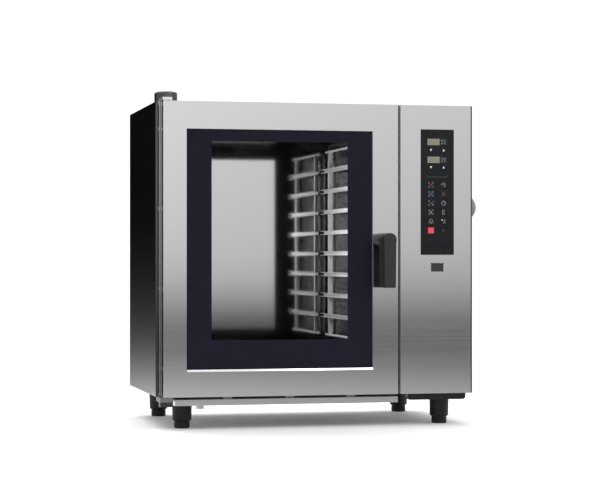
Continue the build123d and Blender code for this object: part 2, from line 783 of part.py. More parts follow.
key_left_x = panel_x - key_column_pitch / 2
key_right_x = panel_x + key_column_pitch / 2
columns = {"left": key_left_x, "right": key_right_x}
arrow_columns = {"down": key_left_x, "up": key_right_x}
key_places = {}
for display, drop in arrow_drops.items():
    for way, x in arrow_columns.items():
        key_places[f"key_{display}_{way}"] = (x, panel_top - drop)
for row in range(key_rows):
    for column, x in columns.items():
        key_places[f"key_row{row + 1}_{column}"] = (x, panel_top - key_first_drop - row * key_row_pitch)
lens_centres = [panel_top - drop for drop in lens_drops.values()]
post_inset_x = 10.0
post_inset_z = 8.0
post_radius = 3.0
panel_fit = 0.2
lens_fit = 0.1
key_round = 0.5

with BuildPart() as keypad_panel:
    block(panel_left + panel_fit, panel_right - panel_fit, front, front + panel_skin,
          panel_bottom + panel_fit, panel_top - panel_fit)
    block(panel_left - panel_lip, panel_right + panel_lip, front + panel_skin, panel_rear,
          panel_bottom - panel_lip, panel_top + panel_lip)
    hole = key_size / 2 + key_clearance
    for x, z in key_places.values():
        block(x - hole, x + hole, front - sheet, panel_rear + sheet, z - hole, z + hole, Mode.SUBTRACT)
    for z in lens_centres:
        block(panel_x - lens_width / 2, panel_x + lens_width / 2, front - sheet, front + panel_skin,
              z - lens_height / 2, z + lens_height / 2, Mode.SUBTRACT)
    for x in (panel_left + post_inset_x, panel_right - post_inset_x):
        for z in (panel_bottom + post_inset_z, panel_top - post_inset_z):
            rod_y(x, panel_rear, panel_rear + board_stand_off, z, post_radius)
finish(keypad_panel, "keypad_panel")

with BuildPart() as display_lenses:
    for z in lens_centres:
        block(panel_x - lens_width / 2 + lens_fit, panel_x + lens_width / 2 - lens_fit, front,
              front + panel_skin, z - lens_height / 2 + lens_fit, z + lens_height / 2 - lens_fit)
finish(display_lenses, "display_lenses")

for name, (x, z) in key_places.items():
    with BuildPart() as key:
        reach = key_size / 2
        flange = reach + key_flange_lip
        block(x - reach, x + reach, front - key_proud, panel_rear, z - reach, z + reach)
        fillet(key.faces().sort_by(Axis.Y)[0].edges(), radius=key_round)
        block(x - flange, x + flange, panel_rear, panel_rear + key_flange, z - flange, z + flange)
    finish(key, name)

board_front = panel_rear + board_stand_off
board_back = board_front + board_sheet
board_inset = 2.0
board_left = panel_left + board_inset
board_right = panel_right - board_inset
part_inset = 13.5
relay_count = 4
relay_pitch = 34.0
relay_width = 26.0
relay_height = 24.0
relay_depth = 16.0
relay_drop = 48.0
transformer_width = 46.0
transformer_height = 55.0
transformer_depth = 34.0
transformer_foot = 40.0
processor_width = 32.0
processor_height = 40.0
processor_depth = 4.0
processor_drop = 150.0
with BuildPart() as control_board:
    block(board_left, board_right, board_front, board_back, panel_bottom + board_inset,
          panel_top - board_inset)
    for step in range(relay_count):
        relay_top = panel_top - relay_drop - step * relay_pitch
        block(board_left + part_inset, board_left + part_inset + relay_width, board_back,
              board_back + relay_depth, relay_top - relay_height, relay_top)
    block(board_right - part_inset - transformer_width, board_right - part_inset, board_back,
          board_back + transformer_depth, panel_bottom + transformer_foot,
          panel_bottom + transformer_foot + transformer_height)
    block(board_right - part_inset - processor_width, board_right - part_inset, board_back,
          board_back + processor_depth, panel_top - processor_drop - processor_height,
          panel_top - processor_drop)
finish(control_board, "control_board")

lug_reach = 6.5
throat_fit = 0.2
throat_depth = 20.0
plug_half_width = 7.0
plug_height = 6.0
plug_top = socket_z + 1.0
plug_depth = 16.0
socket_left = panel_x - socket_width / 2
socket_right = panel_x + socket_width / 2
socket_bottom = socket_top - socket_height
with BuildPart() as data_socket:
    block(socket_left, socket_right, front - bezel_reach, front, socket_bottom, socket_top)
    block(socket_left + socket_rim + throat_fit, socket_right - socket_rim - throat_fit, front,
          front + throat_depth, socket_bottom + socket_rim + throat_fit,
          socket_top - socket_head_rim - throat_fit)
    block(panel_x - plug_half_width, panel_x + plug_half_width, front - 2 * bezel_reach, front + plug_depth,
          plug_top - plug_height, plug_top, Mode.SUBTRACT)
    for x in (socket_left, socket_right - flap_lug):
        block(x, x + flap_lug, front - lug_reach, front, flap_pin_z - flap_barrel_radius, socket_top)
    rod_x(socket_left, socket_right, flap_front, flap_pin_z, flap_pin_radius)
finish(data_socket, "data_socket")

flap_left = socket_left + flap_lug + flap_gap
flap_right = socket_right - flap_lug - flap_gap
flap_head = flap_pin_z - flap_barrel_radius - 2.0
with BuildPart() as socket_flap:
    block(flap_left, flap_right, flap_front, flap_front + flap_sheet, socket_bottom, flap_pin_z)
    block(socket_left, socket_right, flap_front, flap_front + flap_sheet, socket_bottom, flap_head)
    rod_x(flap_left, flap_right, flap_front, flap_pin_z, flap_barrel_radius)
    rod_x(socket_left, socket_right, flap_front, flap_pin_z, flap_pin_radius + running_clearance,
          Mode.SUBTRACT)
finish(socket_flap, "socket_flap")

# ---------------------------------------------------------------- below the casing

tray_top = bottom - tray_top_gap
tray_bottom = tray_top - tray_height
tray_left = door_left + tray_left_margin
tray_front = front + 2.0
tray_tab_width = 30.0
tray_tab_count = 3
tray_tab_left = 160.0
tray_tab_right = 157.0
tray_tab_pitch = (door_right - tray_left - tray_tab_left - tray_tab_right) / (tray_tab_count - 1)
tray_tab_back = frame_back + 8.0
tab_frame_gap = 1.0
spout_leg_gap = 48.0
spout_x = left + leg_side_margin + spout_leg_gap
with BuildPart() as drip_tray:
    block(tray_left, door_right, tray_front, tray_front + tray_depth, tray_bottom, tray_top)
    offset(amount=-tray_sheet, openings=drip_tray.faces().sort_by(Axis.Z)[-1])
    for tab in range(tray_tab_count):
        x = tray_left + tray_tab_left + tab * tray_tab_pitch
        block(x, x + tray_tab_width, tray_front + tray_depth - tray_sheet, tray_tab_back,
              tray_top - tray_sheet, tray_top)
        block(x, x + tray_tab_width, frame_back + tab_frame_gap, tray_tab_back,
              tray_top - tray_sheet, bottom)
    rod_z(spout_x, tray_front + tray_depth / 2, tray_bottom - spout_length,
          tray_bottom + tray_sheet, spout_radius)
    rod_z(spout_x, tray_front + tray_depth / 2, tray_bottom - spout_length - tray_sheet, tray_top,
          spout_radius - tray_sheet, Mode.SUBTRACT)
finish(drip_tray, "drip_tray")

plinth_right = right - plinth_right_margin
plinth_front = front + plinth_setback
plinth_chamfer = 6.0
with BuildPart() as intake_plinth:
    block(plinth_right - plinth_width, plinth_right, plinth_front, plinth_front + plinth_depth,
          bottom - plinth_height, bottom)
    chamfer(intake_plinth.edges().filter_by(Axis.Y).group_by(Axis.Z)[0], length=plinth_chamfer)
    offset(amount=-plinth_sheet, openings=intake_plinth.faces().sort_by(Axis.Z)[-1])
finish(intake_plinth, "intake_plinth")

leg_places = {
    "front_left": (left + leg_side_margin, front + leg_front_margin),
    "front_right": (right - leg_side_margin, front + leg_front_margin),
    "rear_left": (left + leg_side_margin, rear - leg_back_margin),
    "rear_right": (right - leg_side_margin, rear - leg_back_margin),
}
sleeve_taper = 2.0
sleeve_edge = 4.0
foot_chamfer = 2.0
stem_end_room = 2.0
with BuildPart() as leg_sleeves:
    for x, y in leg_places.values():
        with BuildSketch(Plane(origin=(x, y, 0), x_dir=(1, 0, 0), z_dir=(0, -1, 0))):
            with BuildLine():
                Polyline(
                    (0, foot_height),
                    (foot_radius + 1, foot_height),
                    (sleeve_radius - sleeve_taper, foot_height + sleeve_edge),
                    (sleeve_radius, leg_height),
                    (0, leg_height),
                    close=True,
                )
            make_face()
        revolve(axis=Axis((x, y, 0), (0, 0, 1)))
        rod_z(x, y, foot_height - sleeve_taper, foot_height + foot_stem_length + stem_end_room,
              foot_stem_radius + running_clearance, Mode.SUBTRACT)
finish(leg_sleeves, "leg_sleeves")

for place, (x, y) in leg_places.items():
    with BuildPart() as foot:
        rod_z(x, y, 0, foot_height, foot_radius)
        chamfer(foot.faces().sort_by(Axis.Z)[0].edges(), length=foot_chamfer)
        rod_z(x, y, foot_height, foot_height + foot_stem_length, foot_stem_radius)
    finish(foot, f"foot_{place}")

# ---------------------------------------------------------------- connections

valve_half = 18.0
collar = 3.0
collar_lip = 4.0
inlet_bore_depth = 20.0
with BuildPart() as water_inlets:
    for x in (inlet_x, inlet_x + inlet_pitch):
        block(x - valve_half, x + valve_half, valve_front, rear - sheet, inlet_z - valve_half,
              inlet_z + valve_half)
        rod_y(x, rear - sheet, rear + inlet_length, inlet_z, inlet_radius)
        rod_y(x, rear, rear + collar, inlet_z, inlet_radius + collar_lip)
        rod_y(x, rear - inlet_bore_depth, rear + inlet_length + sheet, inlet_z, inlet_bore, Mode.SUBTRACT)
finish(water_inlets, "water_inlets")

gland_nut = 6.0
nut_lip = 5.0
gland_round = 5.0
gland_tail = 4.0
with BuildPart() as cable_gland:
    rod_y(gland_x, rear - sheet - gland_nut - gland_tail, rear + gland_length, gland_z, gland_radius)
    for y0 in (rear - sheet - gland_nut, rear):
        with BuildSketch(Plane(origin=(gland_x, y0, gland_z), x_dir=(1, 0, 0), z_dir=(0, 1, 0))):
            RegularPolygon(gland_radius + nut_lip, 6)
        extrude(amount=gland_nut)
    fillet(cable_gland.faces().sort_by(Axis.Y)[-1].edges(), radius=gland_round)
    rod_y(gland_x, rear - gland_length, rear + gland_length + sheet, gland_z, gland_bore, Mode.SUBTRACT)
finish(cable_gland, "cable_gland")

cap_y = front + cap_setback
cap_z = bottom + cap_level
cap_ball = (cap_radius**2 + cap_height**2) / (2 * cap_height)
with BuildPart() as side_cap:
    with BuildSketch(Plane(origin=(right, cap_y, cap_z), x_dir=(0, 0, 1), z_dir=(0, 1, 0))):
        with BuildLine():
            ThreePointArc(
                (0, cap_height),
                (cap_ball * 0.5, cap_height - cap_ball + cap_ball * 0.75**0.5),
                (cap_radius, 0),
            )
            Polyline((cap_radius, 0), (0, 0), (0, cap_height))
        make_face()
    revolve(axis=Axis((right, cap_y, cap_z), (1, 0, 0)))
finish(side_cap, "side_cap")

print(len(parts_made), "pieces")
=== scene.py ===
import math

import bmesh
import bpy
from mathutils import Matrix, Vector


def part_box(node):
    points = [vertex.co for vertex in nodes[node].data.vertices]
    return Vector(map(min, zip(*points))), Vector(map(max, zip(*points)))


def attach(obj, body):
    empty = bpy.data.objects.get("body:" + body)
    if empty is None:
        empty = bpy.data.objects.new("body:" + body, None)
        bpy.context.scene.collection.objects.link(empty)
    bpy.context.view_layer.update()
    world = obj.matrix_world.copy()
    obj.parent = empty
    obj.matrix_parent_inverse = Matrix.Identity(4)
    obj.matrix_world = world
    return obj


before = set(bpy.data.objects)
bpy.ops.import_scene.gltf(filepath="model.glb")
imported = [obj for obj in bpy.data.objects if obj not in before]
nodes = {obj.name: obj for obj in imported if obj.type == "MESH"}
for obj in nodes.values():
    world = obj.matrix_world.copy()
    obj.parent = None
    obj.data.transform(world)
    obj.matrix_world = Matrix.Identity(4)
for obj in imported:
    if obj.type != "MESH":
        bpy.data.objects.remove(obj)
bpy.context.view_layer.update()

scene = bpy.context.scene

# ---------------------------------------------------------------- camera
# A long lens at half the oven's height, a little to its hinge side.
# It is upright, so every vertical edge stays vertical.

fascia_low, fascia_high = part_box("control_fascia")
front = fascia_low.y
oven_centre = (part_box("casing_left")[0].x + fascia_high.x) / 2
camera_aside = 1.417
camera_distance = 5.834
camera_height = 0.5307
camera_turn = 13.1

camera = bpy.data.objects.new("camera", bpy.data.cameras.new("camera"))
scene.collection.objects.link(camera)
camera.location = (oven_centre - camera_aside, front - camera_distance, camera_height)
camera.rotation_euler = (math.radians(90), 0, math.radians(-camera_turn))
camera.data.lens = 114.24
camera.data.shift_y = 0.0117
camera.data.clip_end = 100
scene.camera = camera

# ---------------------------------------------------------------- studio
# The oven stands on a white floor in a pale grey room, which is white behind the oven.
# A softbox at the front right and a wide one overhead light it, and the room's own tones show in its steel.


def srgb(hex_colour):
    """A colour written as six sRGB hex digits, turned to linear RGBA."""
    parts = [int(hex_colour[i:i + 2], 16) / 255 for i in (0, 2, 4)]
    return [c / 12.92 if c <= 0.04045 else ((c + 0.055) / 1.055) ** 2.4 for c in parts] + [1.0]


def add_node(tree, kind, inputs=None, **settings):
    """Adds a node with its settings. An input, by its identifier, gets a value or an output to link."""
    node = tree.nodes.new(kind)
    for name, value in settings.items():
        setattr(node, name, value)
    sockets = {socket.identifier: socket for socket in node.inputs}
    for name, value in (inputs or {}).items():
        if isinstance(value, bpy.types.NodeSocket):
            tree.links.new(value, sockets[name])
        else:
            sockets[name].default_value = value
    return node


def set_ramp(ramp, stops):
    """Gives a colour ramp its stops, each a place and a grey or a hex colour."""
    elements = ramp.color_ramp.elements
    while len(elements) > 1:
        elements.remove(elements[-1])
    for index, (place, tone) in enumerate(stops):
        element = elements[0] if index == 0 else elements.new(place)
        element.position = place
        element.color = srgb(tone) if isinstance(tone, str) else [tone, tone, tone, 1]


world = bpy.data.worlds.new("studio")
scene.world = world
world.use_nodes = True
sky = world.node_tree
sky.nodes.clear()
direction = add_node(sky, "ShaderNodeTexCoord").outputs["Generated"]
height = add_node(sky, "ShaderNodeSeparateXYZ", {"Vector": direction}).outputs["Z"]


def sky_tones(reach, stops):
    """Greys that change with height, the sine of a direction's angle, within reach of the horizon."""
    level = add_node(sky, "ShaderNodeMapRange", {"Value": height, "From Min": -reach, "From Max": reach})
    tones = add_node(sky, "ShaderNodeValToRGB", {"Fac": level.outputs["Result"]})
    set_ramp(tones, [((place + reach) / (2 * reach), tone) for place, tone in stops])
    return tones.outputs["Color"]


def sky_patch(under, azimuth, inner, outer, over):
    """Lays a round patch over the sky, whole within inner degrees of its middle and gone beyond outer."""
    turn = math.radians(azimuth)
    middle = (math.sin(turn), math.cos(turn), 0)
    near = add_node(sky, "ShaderNodeVectorMath", {"Vector": direction, "Vector_001": middle},
                    operation="DOT_PRODUCT")
    cover = add_node(sky, "ShaderNodeMapRange", {"Value": near.outputs["Value"],
                                                 "From Min": math.cos(math.radians(outer)),
                                                 "From Max": math.cos(math.radians(inner))})
    mixed = add_node(sky, "ShaderNodeMix", {"Factor_Float": cover.outputs["Result"], "A_Color": under,
                                            "B_Color": over}, data_type="RGBA")
    return mixed.outputs[2]


# The front mirrors the room's far end, which has a dark band just under the horizon and is dimmer in one
# corner. A black flag at the back left keeps the oven's left side dark. Each stop is a height and a grey.
room = sky_tones(1, [(-1, 0.40), (-0.1, 0.58), (0.1, 0.62), (0.5, 0.78), (1, 0.92)])
room = sky_patch(room, azimuth=13, inner=22, outer=34, over=(1, 1, 1, 1))
far_end = sky_tones(0.2, [(-0.09, 0.86), (-0.071, 0.68), (-0.063, 0.42), (-0.055, 0.14), (-0.047, 0.04),
                          (-0.039, 0.03), (-0.032, 0.10), (-0.024, 0.38), (-0.016, 0.62), (-0.008, 0.75),
                          (0, 0.81), (0.016, 0.84), (0.08, 0.98)])
room = sky_patch(room, azimuth=167, inner=24, outer=42, over=far_end)
far_corner = add_node(sky, "ShaderNodeVectorMath", {"Vector": far_end, "Scale": 0.7}, operation="SCALE")
room = sky_patch(room, azimuth=148, inner=4, outer=26, over=far_corner.outputs["Vector"])
black_flag = sky_tones(0.2, [(-0.071, 0.5), (-0.061, 0.26), (-0.05, 0.12), (-0.04, 0.06), (-0.029, 0.03),
                             (-0.008, 0.010), (0.02, 0.002), (0.12, 0.002), (0.2, 0.5)])
room = sky_patch(room, azimuth=-32, inner=31, outer=36, over=black_flag)
backdrop = add_node(sky, "ShaderNodeBackground", {"Color": room, "Strength": 1.1})
add_node(sky, "ShaderNodeOutputWorld", {"Surface": backdrop.outputs["Background"]})


def new_object(name, mesh):
    """Puts a mesh in the scene under its name."""
    piece = bpy.data.objects.new(name, mesh)
    scene.collection.objects.link(piece)
    return piece


def new_material(name):
    """A material with one Principled shader, returned with its tree and its shader."""
    material = bpy.data.materials.new(name)
    material.use_nodes = True
    tree = material.node_tree
    return material, tree, tree.nodes["Principled BSDF"]


def mesh_of(bm, name):
    """Turns a bmesh to a mesh and frees it."""
    mesh = bpy.data.meshes.new(name)
    bm.normal_update()
    bm.to_mesh(mesh)
    bm.free()
    return mesh


floor_reach = (1.7, 1.25)
floor_middle = (0, 0.15)
floor_solid = 0.70
bm = bmesh.new()
bmesh.ops.create_grid(bm, x_segments=1, y_segments=1, size=1)
bmesh.ops.scale(bm, vec=(*floor_reach, 1), verts=bm.verts)
bmesh.ops.translate(bm, vec=(*floor_middle, 0), verts=bm.verts)
floor = new_object("floor", mesh_of(bm, "floor"))
floor_paint, tree, shader = new_material("matt_floor_paint")
shader.inputs["Base Color"].default_value = srgb("F4F4F4")
shader.inputs["Roughness"].default_value = 0.8
# The paint thins out from floor_solid of the way to the floor's oval edge, so that no edge shows.
place = add_node(tree, "ShaderNodeTexCoord").outputs["Object"]
oval = add_node(tree, "ShaderNodeMapping", {"Vector": place, "Location": (*floor_middle, 0),
                                            "Scale": (*floor_reach, 1)}, vector_type="TEXTURE")
spread = add_node(tree, "ShaderNodeVectorMath", {"Vector": oval.outputs["Vector"]}, operation="LENGTH")
thinning = add_node(tree, "ShaderNodeMapRange", {"Value": spread.outputs["Value"], "From Min": 1.0,
                                                 "From Max": floor_solid})
tree.links.new(thinning.outputs["Result"], shader.inputs["Alpha"])
floor.data.materials.append(floor_paint)


def soft_light(name, size, power, place, target):
    """A square softbox that faces its target. Sizes are in metres and power is in watts."""
    lamp = bpy.data.lights.new(name, "AREA")
    lamp.size = size
    lamp.energy = power
    light = bpy.data.objects.new(name, lamp)
    scene.collection.objects.link(light)
    light.location = place
    light.rotation_euler = (Vector(target) - Vector(place)).to_track_quat("-Z", "Y").to_euler()
    return light


soft_light("key_softbox", size=2.4, power=45, place=(2.2, front - 2.4, 3.0), target=(0, 0, 0.5))
soft_light("top_softbox", size=4.6, power=175, place=(-0.3, 1.5, 3.5), target=(0, 0, 0.2))
# The oven's own lamp, behind the door, lights the right-hand racks. Nothing reflects it.
oven_light = soft_light("oven_light", size=0.2, power=1.3, place=(-0.12, front + 0.12, 0.62),
                        target=(0.14, 0.0, 0.6))
oven_light.visible_camera = False
oven_light.visible_glossy = False
scene.view_settings.view_transform = "Standard"

# ---------------------------------------------------------------- casing sheets
# The outer sheets, the front frame and the base are 1.5 to 3 mm stainless steel, folded and welded.
# The mill gives them a brushed finish, and the grain runs level round the whole oven.


def paint(material, *names):
    """Gives CAD nodes a material in every slot."""
    for name in names:
        for slot in nodes[name].material_slots:
            slot.material = material


def grain(tree, line, length, low, high):
    """Fine level lines, as a value from low to high. line is their thickness and length their length."""
    place = add_node(tree, "ShaderNodeTexCoord").outputs["Object"]
    stretch = add_node(tree, "ShaderNodeMapping", {"Vector": place,
                                                   "Scale": (1 / length, 1 / length, 1 / line)})
    lines = add_node(tree, "ShaderNodeTexNoise", {"Vector": stretch.outputs["Vector"], "Scale": 1.0,
                                                  "Detail": 3.0, "Roughness": 0.6})
    span = add_node(tree, "ShaderNodeMapRange", {"Value": lines.outputs["Fac"], "From Min": 0.3,
                                                 "From Max": 0.7, "To Min": low, "To Max": high})
    return span.outputs["Result"]


# Real brushing is far finer than this, and is drawn 0.9 mm wide and half a metre long so that it shows.
scratch_width = 0.0009
scratch_length = 0.5


def brushed_steel(name, tone, bright, dull, relief=0.03):
    """Brushed stainless steel: a neutral metal whose level scratches vary its gloss and catch the light.
    bright and dull are the roughness of its glossiest and dullest lines."""
    material, tree, shader = new_material(name)
    shader.inputs["Metallic"].default_value = 1.0
    shader.inputs["Base Color"].default_value = srgb(tone)
    scratches = grain(tree, scratch_width, scratch_length, bright, dull)
    tree.links.new(scratches, shader.inputs["Roughness"])
    bump = add_node(tree, "ShaderNodeBump", {"Height": scratches, "Strength": relief, "Distance": 0.001})
    tree.links.new(bump.outputs["Normal"], shader.inputs["Normal"])
    return material


def edge_tone(material, middle, reach, tone):
    """Paints shade on a steel within reach of an X place: a darker tone that stands in for the shade on its
    edge.
    """
    tree = material.node_tree
    shader = tree.nodes["Principled BSDF"]
    steel = tuple(shader.inputs["Base Color"].default_value)
    place = add_node(tree, "ShaderNodeTexCoord").outputs["Object"]
    across = add_node(tree, "ShaderNodeSeparateXYZ", {"Vector": place}).outputs["X"]
    offset = add_node(tree, "ShaderNodeMath", {"Value": across, "Value_001": middle},
                      operation="SUBTRACT").outputs["Value"]
    distance = add_node(tree, "ShaderNodeMath", {"Value": offset}, operation="ABSOLUTE").outputs["Value"]
    inside = add_node(tree, "ShaderNodeMath", {"Value": distance, "Value_001": reach},
                      operation="LESS_THAN").outputs["Value"]
    tones = add_node(tree, "ShaderNodeMix", {"Factor_Float": inside, "A_Color": steel,
                                             "B_Color": srgb(tone)}, data_type="RGBA")
    tree.links.new(tones.outputs[2], shader.inputs["Base Color"])


# Hands wipe the sides less often, so their brushing looks duller than the front's.
casing_tone = "C8C8C9"
casing_steel = brushed_steel("brushed_stainless_casing", casing_tone, 0.10, 0.15)
paint(casing_steel, "casing_left", "casing_right", "casing_top", "casing_rear", "base_pan")
frame_low, frame_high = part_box("front_frame")
frame_flange = 0.009
frame_steel = brushed_steel("brushed_stainless_frame", casing_tone, 0.10, 0.15)
# The frame's left 9 mm gets painted shade: a dark grey for the shade beside the door's edge.
edge_tone(frame_steel, frame_low.x, frame_flange, "58585A")
paint(frame_steel, "front_frame")
front_tone = "D6D5D6"
door_edge = 0.0012
door_steel = brushed_steel("brushed_stainless_door", front_tone, 0.085, 0.108, relief=0.008)
# The door skin's left 1.2 mm gets painted shade: a dark grey for its side face, which is in shade.
edge_tone(door_steel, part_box("door_skin")[0].x, door_edge, "3C3C3D")
paint(door_steel, "door_skin")
fascia_edge = 0.0065
fascia_steel = brushed_steel("brushed_stainless_fascia", front_tone, 0.085, 0.108, relief=0.008)
# The fascia's right 6.5 mm gets painted shade: a dark grey for its folded edge, which faces the dark right
# side.
edge_tone(fascia_steel, fascia_high.x, fascia_edge, "5A5A5B")
paint(fascia_steel, "control_fascia")

# ---------------------------------------------------------------- cavity
# The cooking chamber is a seamless liner of polished stainless steel with wide corners.
# Its rear wall mirrors the door's window. The insulation behind it is pressed mineral wool.

cavity_steel = brushed_steel("polished_stainless_cavity", "ECEBEC", 0.055, 0.075, relief=0.004)
paint(cavity_steel, "cavity_liner", "door_inner_frame")


def mottle(tree, shader, scale, detail, stops):
    """Colours a surface in soft patches, scale of them to the metre. Returns the patches as a value."""
    place = add_node(tree, "ShaderNodeTexCoord").outputs["Object"]
    patches = add_node(tree, "ShaderNodeTexNoise", {"Vector": place, "Scale": scale, "Detail": detail})
    tones = add_node(tree, "ShaderNodeValToRGB", {"Fac": patches.outputs["Fac"]})
    set_ramp(tones, stops)
    tree.links.new(tones.outputs["Color"], shader.inputs["Base Color"])
    return patches.outputs["Fac"]


wool, tree, shader = new_material("mineral_wool")
shader.inputs["Roughness"].default_value = 0.95
# The fibres are far finer than this, and are drawn 4 mm wide so that they show.
fibres = mottle(tree, shader, 250.0, 4.0, [(0.3, "8E7F4C"), (0.7, "CDBE86")])
bump = add_node(tree, "ShaderNodeBump", {"Height": fibres, "Strength": 0.6, "Distance": 0.002})
tree.links.new(bump.outputs["Normal"], shader.inputs["Normal"])
paint(wool, "insulation")

# ---------------------------------------------------------------- door seal
# A hollow silicone profile, clipped in a groove round the cavity's mouth.
# Silicone is matt black and faintly dusty.


def add_box(bm, low, high):
    """A straight-sided block between two corners, added to a bmesh. Returns its vertices."""
    span = [h - l for l, h in zip(low, high)]
    middle = [(l + h) / 2 for l, h in zip(low, high)]
    corners = bmesh.ops.create_cube(bm, size=1)["verts"]
    bmesh.ops.scale(bm, vec=span, verts=corners)
    bmesh.ops.translate(bm, vec=middle, verts=corners)
    return corners


def round_edges(bm, edges, radius, segments=3):
    """Rounds edges of a bmesh."""
    bmesh.ops.bevel(bm, geom=edges, offset=radius, segments=segments, affect="EDGES", profile=0.5,
                    material=-1)


silicone, tree, shader = new_material("black_silicone")
shader.inputs["Roughness"].default_value = 0.65
# The dust lies in patches of about 1 cm.
mottle(tree, shader, 90.0, 5.0, [(0.45, "151515"), (0.75, "2A2A29")])
paint(silicone, "door_gasket")

# Two black strips are painted shade: one behind the frame's slots, for the dark gap there, and one behind
# the tray's upper edge, for the shadow gap under the door.
tray_low, tray_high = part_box("drip_tray")
strip_thickness = 0.0012
slot_room = 0.004
slot_strip_width = 0.012
lip_drop = 0.0165


def rubber_strip(name, low, high):
    """A black silicone strip of painted shade between two corners, with rounded edges, that rides on the
    oven.
    """
    bm = bmesh.new()
    add_box(bm, low, high)
    round_edges(bm, list(bm.edges), strip_thickness * 0.3, 2)
    strip = new_object(name, mesh_of(bm, name))
    strip.data.materials.append(silicone)
    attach(strip, "oven")


rubber_strip("slot_shade_strip", (frame_low.x + slot_room, frame_high.y, frame_low.z + slot_room),
             (frame_low.x + slot_room + slot_strip_width, frame_high.y + strip_thickness,
              frame_high.z - slot_room))
rubber_strip("tray_gap_shade", (tray_low.x, tray_high.y + strip_thickness, frame_low.z - lip_drop),
             (tray_high.x, tray_high.y + 2 * strip_thickness, frame_low.z))

# ---------------------------------------------------------------- racks, baffle and drain strainer
# The racks are bent from stainless sheet and spot welded, then pickled to a satin grey.
# The baffle is the same steel, punched with round intake holes in front of each fan and browned by smoke.

rack_steel = brushed_steel("pickled_stainless_racks", "F2F2F1", 0.30, 0.38)
# Pickling leaves the steel so fine-grained that it scatters most of the light, as a matt paint does.
rack_steel.node_tree.nodes["Principled BSDF"].inputs["Metallic"].default_value = 0.35
paint(rack_steel, "side_racks", "cavity_drain")
baffle_steel = brushed_steel("smoked_stainless_baffle", "1E1D1C", 0.24, 0.28, relief=0.004)
paint(baffle_steel, "air_baffle")

# ---------------------------------------------------------------- fans, heaters and motors
# Welded steel fan wheels turn in front of round heaters, on motors with cast aluminium housings.
# The heater tubes are a nickel alloy that the heat has turned dark brown and blue.

fan_steel = brushed_steel("welded_steel_fans", "B9B9B8", 0.32, 0.42)
paint(fan_steel, "fan_wheel_lower", "fan_wheel_upper", "steam_pipe")
heater_alloy, tree, shader = new_material("heat_darkened_alloy")
shader.inputs["Metallic"].default_value = 0.8
shader.inputs["Roughness"].default_value = 0.5
# The heat's bloom comes in patches of about 7 cm.
mottle(tree, shader, 14.0, 2.0, [(0.35, "3A2B22"), (0.5, "4A4239"), (0.65, "2D3440")])
paint(heater_alloy, "heater_rings")
cast_aluminium, tree, shader = new_material("cast_aluminium")
shader.inputs["Metallic"].default_value = 1.0
shader.inputs["Base Color"].default_value = srgb("A9ABAD")
shader.inputs["Roughness"].default_value = 0.5
place = add_node(tree, "ShaderNodeTexCoord").outputs["Object"]
# Sand casting leaves a grit of about 1 mm.
grit = add_node(tree, "ShaderNodeTexNoise", {"Vector": place, "Scale": 900.0, "Detail": 2.0})
bump = add_node(tree, "ShaderNodeBump", {"Height": grit.outputs["Fac"], "Strength": 0.35, "Distance": 0.001})
tree.links.new(bump.outputs["Normal"], shader.inputs["Normal"])
paint(cast_aluminium, "fan_motors", "latch_housing")

# ---------------------------------------------------------------- door glass
# The outer pane is toughened glass in a folded rebate. A black ceramic print is fired on its inner face
# and leaves a clear window. The inner pane is clear.

glass_low, glass_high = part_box("outer_glass")
print_left, print_right = 0.0795, 0.081
print_bottom, print_top = 0.0907, 0.038
window_low = Vector((glass_low.x + print_left, 0, glass_low.z + print_bottom))
window_high = Vector((glass_high.x - print_right, 0, glass_high.z - print_top))
print_thickness = 0.0003
print_face = glass_high.y - 2 * print_thickness

bm = bmesh.new()
loops = []
for low, high in ((glass_low, glass_high), (window_low, window_high)):
    corners = [bm.verts.new((x, print_face, z)) for x, z in
               ((low.x, low.z), (high.x, low.z), (high.x, high.z), (low.x, high.z))]
    loops += [bm.edges.new((corners[i - 1], corners[i])) for i in range(4)]
bmesh.ops.bridge_loops(bm, edges=loops)
wall = bmesh.ops.extrude_face_region(bm, geom=list(bm.faces))
bmesh.ops.translate(bm, vec=(0, print_thickness, 0),
                    verts=[item for item in wall["geom"] if isinstance(item, bmesh.types.BMVert)])
bmesh.ops.recalc_face_normals(bm, faces=bm.faces)
ceramic, tree, shader = new_material("black_ceramic_print")
# Fired ceramic ink is a deep blue-black with a satin face.
shader.inputs["Base Color"].default_value = srgb("1B1927")
shader.inputs["Roughness"].default_value = 0.35
shader.inputs["Specular IOR Level"].default_value = 0.1
glass_print = new_object("door_glass_print", mesh_of(bm, "door_glass_print"))
glass_print.data.materials.append(ceramic)
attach(glass_print, "door")


def pane(name, tone, cover):
    """Clear glass: a hard, colourless gloss that hides only a small share, cover, of what is behind it."""
    material, tree, shader = new_material(name)
    shader.inputs["Base Color"].default_value = srgb(tone)
    shader.inputs["Roughness"].default_value = 0.02
    shader.inputs["Specular IOR Level"].default_value = 0.12
    shader.inputs["Alpha"].default_value = cover
    return material


paint(pane("toughened_glass", "14151A", 0.04), "outer_glass")
paint(pane("low_emission_glass", "1B1D1C", 0.03), "inner_glass")

